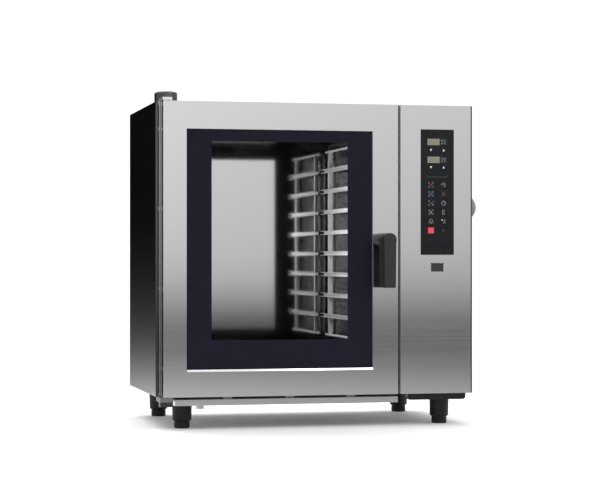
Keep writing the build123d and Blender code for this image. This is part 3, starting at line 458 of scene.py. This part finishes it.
# A polished bead of three sides runs under the glass. Its sloping face catches the light from above.
bead_top = glass_low.z - 0.0002
bead_height = 0.006
bead_back = glass_low.y - 0.0042
bead_depth = 0.0033
bm = bmesh.new()
section = [(bead_back, bead_top), (bead_back, bead_top - bead_height),
           (bead_back - bead_depth, bead_top - bead_height)]
ends = [[bm.verts.new((x, y, z)) for y, z in section] for x in (glass_low.x, glass_high.x)]
for i in range(3):
    bm.faces.new((ends[0][i - 1], ends[0][i], ends[1][i], ends[1][i - 1]))
bm.faces.new(ends[0])
bm.faces.new(ends[1])
bmesh.ops.recalc_face_normals(bm, faces=bm.faces)
round_edges(bm, list(bm.edges), 0.0004, 2)
bead = new_object("glass_bead", mesh_of(bm, "glass_bead"))
bead.data.materials.append(brushed_steel("polished_stainless_bead", "F2F2F2", 0.08, 0.12, relief=0.01))
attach(bead, "door")

# ---------------------------------------------------------------- handle
# One lever of glass-filled nylon, moulded on a steel shaft that works the latch.
# Spark erosion gives the mould, and so the lever, a fine matt texture.


def moulded_nylon(name, tone, roughness):
    """Glass-filled nylon: an even, dark colour with a matt texture about 0.7 mm wide."""
    material, tree, shader = new_material(name)
    shader.inputs["Base Color"].default_value = srgb(tone)
    shader.inputs["Roughness"].default_value = roughness
    place = add_node(tree, "ShaderNodeTexCoord").outputs["Object"]
    texture = add_node(tree, "ShaderNodeTexNoise", {"Vector": place, "Scale": 1400.0, "Detail": 2.0})
    bump = add_node(tree, "ShaderNodeBump", {"Height": texture.outputs["Fac"], "Strength": 0.25,
                                             "Distance": 0.0005})
    tree.links.new(bump.outputs["Normal"], shader.inputs["Normal"])
    return material


handle_nylon = moulded_nylon("glass_filled_nylon", "161617", 0.48)
paint(handle_nylon, "handle_lever")
turned_steel = brushed_steel("turned_stainless", "D2D2D3", 0.25, 0.33)
paint(turned_steel, "handle_shaft", "latch_striker", "casing_screws")

# ---------------------------------------------------------------- hinge brackets
# Two bent steel plates carry the door on pins. The lower one stands on a black plastic pad.
# The plates are bead blasted, which leaves an even, soft shine.

bracket_low, bracket_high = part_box("hinge_brackets")
pad_height = 0.0135
hinge_steel, tree, shader = new_material("blasted_steel_hinge")
place = add_node(tree, "ShaderNodeTexCoord").outputs["Object"]
level = add_node(tree, "ShaderNodeSeparateXYZ", {"Vector": place}).outputs["Z"]
# The tone changes with height: the pad is black, the lower plate mid grey and the upper plate pale grey.
pad_top = bracket_low.z + pad_height
between_plates = bracket_high.z / 2
plate_tones = add_node(tree, "ShaderNodeValToRGB", {"Fac": level})
plate_tones.color_ramp.interpolation = "CONSTANT"
set_ramp(plate_tones, [(0, "1B1B1C"), (pad_top, "77777A"), (between_plates, "E6E6E7")])
tree.links.new(plate_tones.outputs["Color"], shader.inputs["Base Color"])
metal = add_node(tree, "ShaderNodeMath", {"Value": level, "Value_001": pad_top}, operation="GREATER_THAN")
tree.links.new(metal.outputs["Value"], shader.inputs["Metallic"])
beads = add_node(tree, "ShaderNodeTexNoise", {"Vector": place, "Scale": 700.0, "Detail": 2.0})
blasted = add_node(tree, "ShaderNodeMapRange", {"Value": beads.outputs["Fac"], "To Min": 0.28,
                                                "To Max": 0.42})
tree.links.new(blasted.outputs["Result"], shader.inputs["Roughness"])
paint(hinge_steel, "hinge_brackets")

# ---------------------------------------------------------------- keypad
# A gloss black polyester film over the key caps, printed from behind. Each key has its own symbol
# in thick ink, and a fine line joins the two groups of keys.

film, tree, shader = new_material("gloss_black_film")
shader.inputs["Base Color"].default_value = srgb("101214")
shader.inputs["Specular IOR Level"].default_value = 0.25
place = add_node(tree, "ShaderNodeTexCoord").outputs["Object"]
# Fingers leave the film duller in patches about 2 cm wide.
prints = add_node(tree, "ShaderNodeTexNoise", {"Vector": place, "Scale": 45.0, "Detail": 4.0})
wiped = add_node(tree, "ShaderNodeMapRange", {"Value": prints.outputs["Fac"], "From Min": 0.4,
                                              "From Max": 0.7, "To Min": 0.16, "To Max": 0.34})
tree.links.new(wiped.outputs["Result"], shader.inputs["Roughness"])
paint(film, "keypad_panel", *[name for name in nodes if name.startswith("key_")])

ink_depth = 0.00012
ink_sunk = 0.00004


def ink(name, tone):
    """Screen ink: opaque, even and slightly matt."""
    material, tree, shader = new_material(name)
    shader.inputs["Base Color"].default_value = srgb(tone)
    shader.inputs["Roughness"].default_value = 0.45
    shader.inputs["Specular IOR Level"].default_value = 0.2
    return material


def stroke(bm, kind, x, z, *numbers):
    """Adds a flat bar, disc, ring or triangle that faces the front, at (x, z). All is in millimetres."""
    if kind == "bar":
        width, height, turn = numbers
        made = bmesh.ops.create_grid(bm, x_segments=1, y_segments=1, size=0.5)["verts"]
        bmesh.ops.scale(bm, vec=(width, height, 1), verts=made)
        bmesh.ops.rotate(bm, matrix=Matrix.Rotation(math.radians(turn), 3, "Z"), verts=made)
    elif kind == "disc":
        made = bmesh.ops.create_circle(bm, cap_ends=True, radius=numbers[0], segments=24)["verts"]
    elif kind == "ring":
        radius, line = numbers
        outside = bmesh.ops.create_circle(bm, radius=radius, segments=28)["verts"]
        inside = bmesh.ops.create_circle(bm, radius=radius - line, segments=28)["verts"]
        made = outside + inside
        bmesh.ops.bridge_loops(bm, edges=list({edge for vertex in made for edge in vertex.link_edges}))
    else:
        size, turn = numbers
        made = bmesh.ops.create_circle(bm, cap_ends=True, radius=size, segments=3)["verts"]
        bmesh.ops.rotate(bm, matrix=Matrix.Rotation(math.radians(turn), 3, "Z"), verts=made)
    bmesh.ops.rotate(bm, matrix=Matrix.Rotation(math.radians(90), 3, "X"), verts=made)
    bmesh.ops.translate(bm, vec=(x, 0, z), verts=made)


def symbol(name, body, face, strokes, material):
    """A printed symbol on a surface that faces the front. face is the middle of that surface."""
    bm = bmesh.new()
    for shape in strokes:
        stroke(bm, *shape)
    bmesh.ops.scale(bm, vec=(0.001, 0.001, 0.001), verts=bm.verts)
    raised = bmesh.ops.extrude_face_region(bm, geom=list(bm.faces))
    bmesh.ops.translate(bm, vec=(0, -ink_depth, 0),
                        verts=[item for item in raised["geom"] if isinstance(item, bmesh.types.BMVert)])
    bmesh.ops.translate(bm, vec=(face[0], face[1] + ink_sunk, face[2]), verts=bm.verts)
    bmesh.ops.recalc_face_normals(bm, faces=bm.faces)
    piece = new_object(name, mesh_of(bm, name))
    piece.data.materials.append(material)
    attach(piece, body)


white_ink = ink("white_ink", "E8E8E8")
grey_ink = ink("grey_ink", "9A9DA1")
dim_ink = ink("dim_grey_ink", "3E4145")
red_ink = ink("red_ink", "C8405A")
dark_red_ink = ink("dark_red_ink", "8A4A58")
blue_ink = ink("blue_ink", "5B79B4")
coral_ink = ink("coral_ink", "E2485C")
blush_ink = ink("pale_red_ink", "F0808A")

# Symbols are drawn in millimetres about the middle of their key.
corner = 7.6
line = 1.2
arm = 4.4
arm_middle = corner - arm / 2
corners = [("bar", side * corner, top * arm_middle, line, arm, 0) for side in (-1, 1) for top in (-1, 1)]
corners += [("bar", side * arm_middle, top * corner, arm, line, 0) for side in (-1, 1) for top in (-1, 1)]
blade_reach = 2.8
fan_blades = [("bar", blade_reach * math.cos(math.radians(turn)), blade_reach * math.sin(math.radians(turn)),
               4.8, 2.0, turn) for turn in (30, 150, 270)]
waves = [("bar", x, 0, 1.4, 9.5, 0) for x in (-3.8, 0, 3.8)]
clock = [("ring", 0, 0, 7.6, line), ("bar", 0, 2.0, line, 5.2, 0), ("bar", 2.0, 0, 5.0, line, 0)]
symbols = {
    "key_row1_left": [(red_ink, fan_blades + [("disc", 0, 0, 1.8)]), (grey_ink, corners)],
    "key_row1_right": [(grey_ink, [("bar", -1.0, 5.4, 13.0, line, 0), ("bar", 1.2, 0.6, 12.0, line, 0),
                                   ("bar", 3.0, -4.2, 8.4, line, 0), ("disc", -7.2, 0.6, 1.3)])],
    "key_row2_left": [(blue_ink, waves), (grey_ink, corners)],
    "key_row2_right": [(dark_red_ink, waves), (dim_ink, corners)],
    "key_row3_left": [(grey_ink, corners[:6] + [("bar", 1.0, -0.8, 10.0, line, -38),
                                                ("disc", 5.4, -4.6, 1.8)])],
    "key_row3_right": [(grey_ink, clock)],
    "key_row4_left": [(grey_ink, corners + [("ring", 0, 0, 4.4, line), ("bar", 0, 0, line, 8.2, 40)])],
    "key_row4_right": [(grey_ink, [("bar", -3.2, 0, 1.5, 14.6, 0), ("bar", 0.8, 6.4, 7.0, line, 0),
                                   ("bar", 0.8, -6.4, 7.0, line, 0), ("disc", 1.2, 0, 1.5)])],
    "key_row5_left": [(grey_ink, [("ring", 0, 1.4, 5.8, line), ("bar", 0, -6.4, 5.0, line, 0),
                                  ("bar", -6.8, -5.0, 3.4, line, 45), ("bar", 6.8, -5.0, 3.4, line, -45)])],
    "key_row5_right": [(white_ink, [("triangle", -5.2, 4.4, 3.2, 90)]),
                       (grey_ink, [("bar", 3.6, 5.0, 6.2, line, 0), ("bar", 2.2, 0, 10.0, line, 55),
                                   ("bar", 2.2, -5.0, 9.0, line, 0)])],
    "key_row6_left": [(coral_ink, [("bar", 0, 0, 20.0, 19.0, 0)])],
    "key_row6_right": [(dim_ink, [("triangle", -2.6, 0, 5.4, -90), ("bar", 5.0, 0, 1.5, 9.4, 0)])],
}
for display in ("upper", "lower"):
    symbols[f"key_{display}_down"] = [(white_ink, [("triangle", 0, 0.8, 4.6, 180)])]
    symbols[f"key_{display}_up"] = [(white_ink, [("triangle", 0, -0.8, 4.6, 0)])]
for key, layers in symbols.items():
    key_low, key_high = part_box(key)
    face = ((key_low.x + key_high.x) / 2, key_low.y, (key_low.z + key_high.z) / 2)
    for number, (material, strokes) in enumerate(layers):
        symbol(f"{key}_symbol_{number + 1}", key, face, strokes, material)
    if key == "key_row6_left":
        start = (face[0], face[1] - ink_depth, face[2])
        symbol("start_key_mark", key, start, [("ring", 0, 0, 5.6, line), ("bar", 0, 3.6, 1.4, 6.0, 0)],
               blush_ink)

# The line reaches 1 mm past the keys on both sides, and its ends turn up.
left_low, left_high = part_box("key_row1_left")
right_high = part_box("key_row1_right")[1]
link_z = (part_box("key_lower_down")[0].z + left_high.z) / 2
link_middle = (left_low.x + right_high.x) / 2
link_half = (right_high.x - left_low.x) / 2 * 1000 + 1
panel_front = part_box("keypad_panel")[0].y
symbol("key_group_line", "oven", (link_middle, panel_front, link_z),
       [("bar", 0, -3, 2 * link_half - 4, 0.8, 0), ("bar", -link_half, 2.2, 3.0, 0.9, 45),
        ("bar", link_half, 2.2, 3.0, 0.9, -45), ("bar", 2 - link_half, -1.2, 0.8, 3.6, 0),
        ("bar", link_half - 2, -1.2, 0.8, 3.6, 0)], ink("slate_ink", "5E6470"))

# ---------------------------------------------------------------- displays
# Two liquid crystal windows under a clear lens. The lit part is olive grey and the rest is a dark strip
# with small status marks. The digits show faintly, because the oven is off.

lens_low, lens_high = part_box("display_lenses")
lens_height = 0.0203
lit_share = 0.62
lens, tree, shader = new_material("display_lens")
place = add_node(tree, "ShaderNodeTexCoord").outputs["Object"]
across = add_node(tree, "ShaderNodeSeparateXYZ", {"Vector": place}).outputs["X"]
lit_edge = lens_low.x + lit_share * (lens_high.x - lens_low.x)
unlit = add_node(tree, "ShaderNodeMath", {"Value": across, "Value_001": lit_edge}, operation="GREATER_THAN")
tones = add_node(tree, "ShaderNodeMix", {"Factor_Float": unlit.outputs["Value"], "A_Color": srgb("8C8B7A"),
                                         "B_Color": srgb("26282A")}, data_type="RGBA")
tree.links.new(tones.outputs[2], shader.inputs["Base Color"])
shader.inputs["Roughness"].default_value = 0.18
shader.inputs["Specular IOR Level"].default_value = 0.3
paint(lens, "display_lenses")
segment = ink("unlit_crystal", "7B7A6B")
# Each digit is seven bars, in millimetres.
digit_pitch = 11.0
digit_rise = 6.4
digit_side = 3.2
bar_line = 1.1
for name, z in (("upper", lens_high.z - lens_height / 2), ("lower", lens_low.z + lens_height / 2)):
    digits = []
    for place_number in range(3):
        x = (place_number - 1) * digit_pitch
        digits += [("bar", x, row * digit_rise, 5.0, bar_line, 0) for row in (-1, 0, 1)]
        digits += [("bar", x + side * digit_side, row * digit_rise / 2, bar_line, 4.8, 0)
                   for side in (-1, 1) for row in (-1, 1)]
    symbol(f"{name}_display_digits", "oven", ((lens_low.x + lit_edge) / 2, lens_low.y, z), digits, segment)
    marks = [("ring", -4.0, 4.2, 2.4, 0.8), ("bar", 4.4, 4.2, 4.6, 1.0, 0), ("bar", 4.4, 2.2, 4.6, 1.0, 0),
             ("triangle", -4.0, -4.2, 2.4, 90), ("bar", 4.4, -4.2, 1.2, 5.0, 0),
             ("bar", 4.4, -4.2, 4.6, 1.2, 0)]
    symbol(f"{name}_display_marks", "oven", ((lit_edge + lens_high.x) / 2, lens_low.y, z), marks, grey_ink)

# ---------------------------------------------------------------- data socket and its flap
# Glass-filled nylon mouldings in charcoal, with the fine matt texture of the mould.

charcoal_nylon = moulded_nylon("charcoal_nylon", "262627", 0.5)
paint(charcoal_nylon, "data_socket", "socket_flap")

# ---------------------------------------------------------------- control board
# A green fibreglass board behind the panel with relays, a transformer and a processor on it.

board, tree, shader = new_material("fibreglass_board")
shader.inputs["Roughness"].default_value = 0.45
place = add_node(tree, "ShaderNodeTexCoord").outputs["Object"]
# Copper tracks show through the green varnish about every 6 mm.
tracks = add_node(tree, "ShaderNodeTexVoronoi", {"Vector": place, "Scale": 160.0}, distance="CHEBYCHEV")
track_tones = add_node(tree, "ShaderNodeValToRGB", {"Fac": tracks.outputs["Distance"]})
set_ramp(track_tones, [(0.0, "2E7A48"), (0.08, "174A2A"), (1.0, "123D22")])
tree.links.new(track_tones.outputs["Color"], shader.inputs["Base Color"])
paint(board, "control_board")

# ---------------------------------------------------------------- legs, feet and intake plinth
# The sleeves, feet and air intake are black nylon mouldings. Each foot has a ribbed rim that is turned
# by hand to level the oven. The intake has its louvres underneath, on both sides of the leg.

black_nylon, tree, shader = new_material("black_nylon")
shader.inputs["Roughness"].default_value = 0.42
shader.inputs["Specular IOR Level"].default_value = 0.25
# Scuffs from cleaning show as paler patches of about 2 cm.
mottle(tree, shader, 60.0, 6.0, [(0.4, "0C0C0D"), (0.75, "161617")])
feet = [name for name in nodes if name.startswith("foot_")]
paint(black_nylon, "leg_sleeves", "intake_plinth", *feet)

rib_count = 28
rib_radius = 0.0010
rib_sunk = 0.0004
rib_length = 0.014
rib_height = 0.012
for name in feet:
    foot_low, foot_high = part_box(name)
    middle_x, middle_y = (foot_low.x + foot_high.x) / 2, (foot_low.y + foot_high.y) / 2
    reach = (foot_high.x - foot_low.x) / 2 - rib_sunk
    bm = bmesh.new()
    for number in range(rib_count):
        rib = bmesh.ops.create_cone(bm, cap_ends=True, segments=8, radius1=rib_radius, radius2=rib_radius,
                                    depth=rib_length)["verts"]
        turn = 2 * math.pi * number / rib_count
        bmesh.ops.translate(bm, vec=(middle_x + reach * math.cos(turn), middle_y + reach * math.sin(turn),
                                     rib_height), verts=rib)
    ribs = new_object(f"{name}_ribs", mesh_of(bm, f"{name}_ribs"))
    ribs.data.materials.append(black_nylon)
    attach(ribs, name)

plinth_low, plinth_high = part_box("intake_plinth")
leg_low, leg_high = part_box("foot_front_right")
plinth_margin = 0.015
leg_room = 0.008
louvre_count = 13
louvre_pitch = (plinth_high.x - plinth_low.x - 2 * plinth_margin) / louvre_count
louvre_half = louvre_pitch * 0.33
louvre_relief = 0.0012
louvre_sunk = 0.0005
bm = bmesh.new()
for number in range(louvre_count):
    x = plinth_low.x + plinth_margin + (number + 0.5) * louvre_pitch
    if leg_low.x - leg_room - louvre_half < x < leg_high.x + leg_room + louvre_half:
        continue
    add_box(bm, (x - louvre_half, plinth_low.y + plinth_margin, plinth_low.z - louvre_relief),
            (x + louvre_half, plinth_high.y - plinth_margin, plinth_low.z + louvre_sunk))
lower_edges = [edge for edge in bm.edges if all(vertex.co.z < plinth_low.z for vertex in edge.verts)]
round_edges(bm, lower_edges, 0.0005, 2)
louvres = new_object("intake_louvres", mesh_of(bm, "intake_louvres"))
louvres.data.materials.append(black_nylon)
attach(louvres, "oven")

# ---------------------------------------------------------------- drip tray
# A folded gutter of the same stainless sheet, brighter because it is wiped every day.

paint(brushed_steel("wiped_stainless_tray", "B4B4B5", 0.16, 0.22), "drip_tray")

# ---------------------------------------------------------------- chimney
# A spun stainless pipe with a rolled shoulder. Its dark grey is painted shade, for the shade under the
# shoulder.

chimney_steel, tree, shader = new_material("stainless_chimney_painted_shade")
shader.inputs["Metallic"].default_value = 1.0
shader.inputs["Roughness"].default_value = 0.28
# The painted shade comes in patches of about 3 cm, for the shadows on the pipe.
mottle(tree, shader, 35.0, 4.0, [(0.35, "4C4C4C"), (0.7, "686867")])
paint(chimney_steel, "vent_chimney")

# ---------------------------------------------------------------- rear fixings
# The rear panel's screws have hexagon sockets, which show as dark pits.

screw_low, screw_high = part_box("casing_screws")
columns = 5
rows = 4
head_radius = 0.005
column_pitch = (screw_high.x - screw_low.x - 2 * head_radius) / (columns - 1)
row_pitch = (screw_high.z - screw_low.z - 2 * head_radius) / (rows - 1)
socket_radius = 0.0025
socket_depth = 0.0004
socket_sunk = 0.0001
bm = bmesh.new()
for column in range(columns):
    for row in range(rows):
        if column in (0, columns - 1) or row in (0, rows - 1):
            pit = bmesh.ops.create_cone(bm, cap_ends=True, segments=6, radius1=socket_radius,
                                        radius2=socket_radius, depth=socket_depth)["verts"]
            bmesh.ops.rotate(bm, matrix=Matrix.Rotation(math.radians(90), 3, "X"), verts=pit)
            bmesh.ops.translate(bm, vec=(screw_low.x + head_radius + column * column_pitch,
                                         screw_high.y - socket_sunk,
                                         screw_low.z + head_radius + row * row_pitch), verts=pit)
pits = new_object("screw_sockets", mesh_of(bm, "screw_sockets"))
pit_shade, tree, shader = new_material("shaded_steel_pits")
shader.inputs["Metallic"].default_value = 1.0
shader.inputs["Base Color"].default_value = srgb("3A3A3C")
shader.inputs["Roughness"].default_value = 0.6
pits.data.materials.append(pit_shade)
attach(pits, "oven")

# ---------------------------------------------------------------- water inlets and cable gland
# Cast brass inlets with turned threads, and a nylon gland whose cap nut has a ribbed grip.

inlet_brass, tree, shader = new_material("cast_brass")
shader.inputs["Metallic"].default_value = 1.0
shader.inputs["Roughness"].default_value = 0.33
# Brass tarnishes in patches of about 1.5 cm.
mottle(tree, shader, 70.0, 4.0, [(0.35, "A98544"), (0.7, "D2B06A")])
paint(inlet_brass, "water_inlets")

inlet_low, inlet_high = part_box("water_inlets")
inlet_z = (inlet_low.z + inlet_high.z) / 2
thread_radius = 0.0132
thread_pitch = 0.0018
thread_turns = 9
thread_depth = 0.0007
thread_sunk = 0.0002
thread_start = 0.0025
valve_half = 0.018
bm = bmesh.new()
for x in (inlet_low.x + valve_half, inlet_high.x - valve_half):
    for number in range(thread_turns):
        y = inlet_high.y - thread_start - number * thread_pitch
        crest = bmesh.ops.create_circle(bm, radius=thread_depth, segments=6)["verts"]
        bmesh.ops.rotate(bm, matrix=Matrix.Rotation(math.radians(90), 3, "Z"), verts=crest)
        bmesh.ops.translate(bm, vec=(x, y, inlet_z + thread_radius - thread_sunk), verts=crest)
        ring_edges = list({edge for vertex in crest for edge in vertex.link_edges})
        bmesh.ops.spin(bm, geom=crest + ring_edges, cent=(x, y, inlet_z), axis=(0, 1, 0),
                       angle=math.radians(360), steps=40, use_merge=True)
bmesh.ops.recalc_face_normals(bm, faces=bm.faces)
threads = new_object("inlet_threads", mesh_of(bm, "inlet_threads"))
threads.data.materials.append(inlet_brass)
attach(threads, "oven")

paint(black_nylon, "cable_gland")
gland_low, gland_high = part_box("cable_gland")
gland_x, gland_z = (gland_low.x + gland_high.x) / 2, (gland_low.z + gland_high.z) / 2
grip_ribs = 16
grip_radius = 0.016
grip_sunk = 0.0006
grip_relief = 0.0008
grip_half = 0.0011
grip_front, grip_back = gland_high.y - 0.017, gland_high.y - 0.006
bm = bmesh.new()
for number in range(grip_ribs):
    rib = add_box(bm, (grip_radius - grip_sunk, grip_front, -grip_half),
                  (grip_radius + grip_relief, grip_back, grip_half))
    bmesh.ops.rotate(bm, matrix=Matrix.Rotation(2 * math.pi * number / grip_ribs, 3, "Y"), verts=rib)
    bmesh.ops.translate(bm, vec=(gland_x, 0, gland_z), verts=rib)
grip = new_object("gland_grip_ribs", mesh_of(bm, "gland_grip_ribs"))
grip.data.materials.append(black_nylon)
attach(grip, "oven")

# ---------------------------------------------------------------- side cap
# A domed cover of grey plastic, clipped over a hole in the right-hand panel.

cap_plastic, tree, shader = new_material("light_grey_polypropylene")
shader.inputs["Base Color"].default_value = srgb("7C7C7E")
place = add_node(tree, "ShaderNodeTexCoord").outputs["Object"]
moulding = add_node(tree, "ShaderNodeTexNoise", {"Vector": place, "Scale": 800.0, "Detail": 2.0})
satin = add_node(tree, "ShaderNodeMapRange", {"Value": moulding.outputs["Fac"], "To Min": 0.35,
                                              "To Max": 0.5})
tree.links.new(satin.outputs["Result"], shader.inputs["Roughness"])
paint(cap_plastic, "side_cap")
